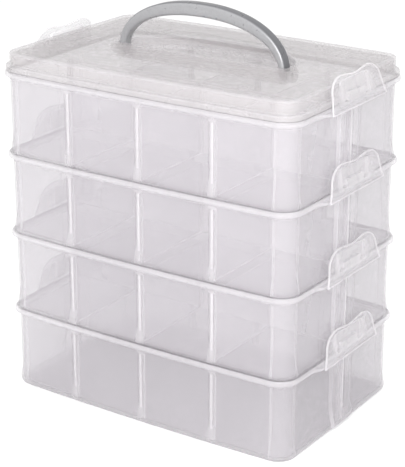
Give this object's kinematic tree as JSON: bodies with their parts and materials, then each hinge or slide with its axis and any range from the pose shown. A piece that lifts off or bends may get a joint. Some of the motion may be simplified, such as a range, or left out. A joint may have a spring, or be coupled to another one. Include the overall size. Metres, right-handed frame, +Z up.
{
  "type": "sewing box with trays",
  "caption": "Stacking sewing box: nested trays with lift-out dividers and hinged end latches, under a lid whose arched carry handle folds flat.",
  "frame": {"origin": "centre of the underside of the bottom tray, on the surface the box stands on", "axes": "+X along the box towards the right end latches, +Y to the back, +Z up"},
  "size_m": [0.283, 0.1804, 0.3225],
  "materials": {
    "frosted_plastic": "translucent frosted polypropylene with a soft sheen",
    "divider_plastic": "translucent frosted polypropylene, thin plate",
    "silver_grey_plastic": "smooth silver-grey moulded plastic"
  },
  "bodies": {
    "tray_1": {"tray_1": "frosted_plastic"},
    "tray_2": {"tray_2": "frosted_plastic", "long_divider_2": "divider_plastic", "back_divider_2_1": "divider_plastic", "front_divider_2_1": "divider_plastic", "back_divider_2_2": "divider_plastic", "front_divider_2_2": "divider_plastic", "back_divider_2_3": "divider_plastic", "front_divider_2_3": "divider_plastic"},
    "tray_3": {"tray_3": "frosted_plastic", "long_divider_3": "divider_plastic", "back_divider_3_1": "divider_plastic", "front_divider_3_1": "divider_plastic", "back_divider_3_2": "divider_plastic", "front_divider_3_2": "divider_plastic", "back_divider_3_3": "divider_plastic", "front_divider_3_3": "divider_plastic"},
    "tray_4": {"tray_4": "frosted_plastic", "long_divider_4": "divider_plastic", "back_divider_4_1": "divider_plastic", "front_divider_4_1": "divider_plastic", "back_divider_4_2": "divider_plastic", "front_divider_4_2": "divider_plastic", "back_divider_4_3": "divider_plastic", "front_divider_4_3": "divider_plastic"},
    "lid": {"lid": "frosted_plastic"},
    "handle": {"handle": "silver_grey_plastic"},
    "latch_right_1": {"latch_right_1": "frosted_plastic"},
    "latch_left_1": {"latch_left_1": "frosted_plastic"},
    "latch_right_2": {"latch_right_2": "frosted_plastic"},
    "latch_left_2": {"latch_left_2": "frosted_plastic"},
    "latch_right_3": {"latch_right_3": "frosted_plastic"},
    "latch_left_3": {"latch_left_3": "frosted_plastic"},
    "latch_right_4": {"latch_right_4": "frosted_plastic"},
    "latch_left_4": {"latch_left_4": "frosted_plastic"}
  },
  "joints": [
    {"name": "tray_2_lift", "type": "slide", "parent": "tray_1", "child": "tray_2", "axis": [0, 0, 1], "range_m": [0, 0.08]},
    {"name": "tray_3_lift", "type": "slide", "parent": "tray_2", "child": "tray_3", "axis": [0, 0, 1], "range_m": [0, 0.08]},
    {"name": "tray_4_lift", "type": "slide", "parent": "tray_3", "child": "tray_4", "axis": [0, 0, 1], "range_m": [0, 0.08]},
    {"name": "lid_lift", "type": "slide", "parent": "tray_4", "child": "lid", "axis": [0, 0, 1], "range_m": [0, 0.08]},
    {"name": "handle_fold", "type": "hinge", "parent": "lid", "child": "handle", "pos_m": [0, 0.001, 0.27765], "axis": [-1, 0, 0], "range_deg": [0, 90]},
    {"name": "latch_right_1_open", "type": "hinge", "parent": "tray_1", "child": "latch_right_1", "pos_m": [0.13945, 0, 0.0647], "axis": [0, 1, 0], "range_deg": [0, 35]},
    {"name": "latch_left_1_open", "type": "hinge", "parent": "tray_1", "child": "latch_left_1", "pos_m": [-0.13945, 0, 0.0647], "axis": [0, -1, 0], "range_deg": [0, 35]},
    {"name": "latch_right_2_open", "type": "hinge", "parent": "tray_2", "child": "latch_right_2", "pos_m": [0.13945, 0, 0.1312], "axis": [0, 1, 0], "range_deg": [0, 35]},
    {"name": "latch_left_2_open", "type": "hinge", "parent": "tray_2", "child": "latch_left_2", "pos_m": [-0.13945, 0, 0.1312], "axis": [0, -1, 0], "range_deg": [0, 35]},
    {"name": "latch_right_3_open", "type": "hinge", "parent": "tray_3", "child": "latch_right_3", "pos_m": [0.13945, 0, 0.1977], "axis": [0, 1, 0], "range_deg": [0, 35]},
    {"name": "latch_left_3_open", "type": "hinge", "parent": "tray_3", "child": "latch_left_3", "pos_m": [-0.13945, 0, 0.1977], "axis": [0, -1, 0], "range_deg": [0, 35]},
    {"name": "latch_right_4_open", "type": "hinge", "parent": "tray_4", "child": "latch_right_4", "pos_m": [0.13945, 0, 0.2642], "axis": [0, 1, 0], "range_deg": [0, 35]},
    {"name": "latch_left_4_open", "type": "hinge", "parent": "tray_4", "child": "latch_left_4", "pos_m": [-0.13945, 0, 0.2642], "axis": [0, -1, 0], "range_deg": [0, 35]}
  ]
}
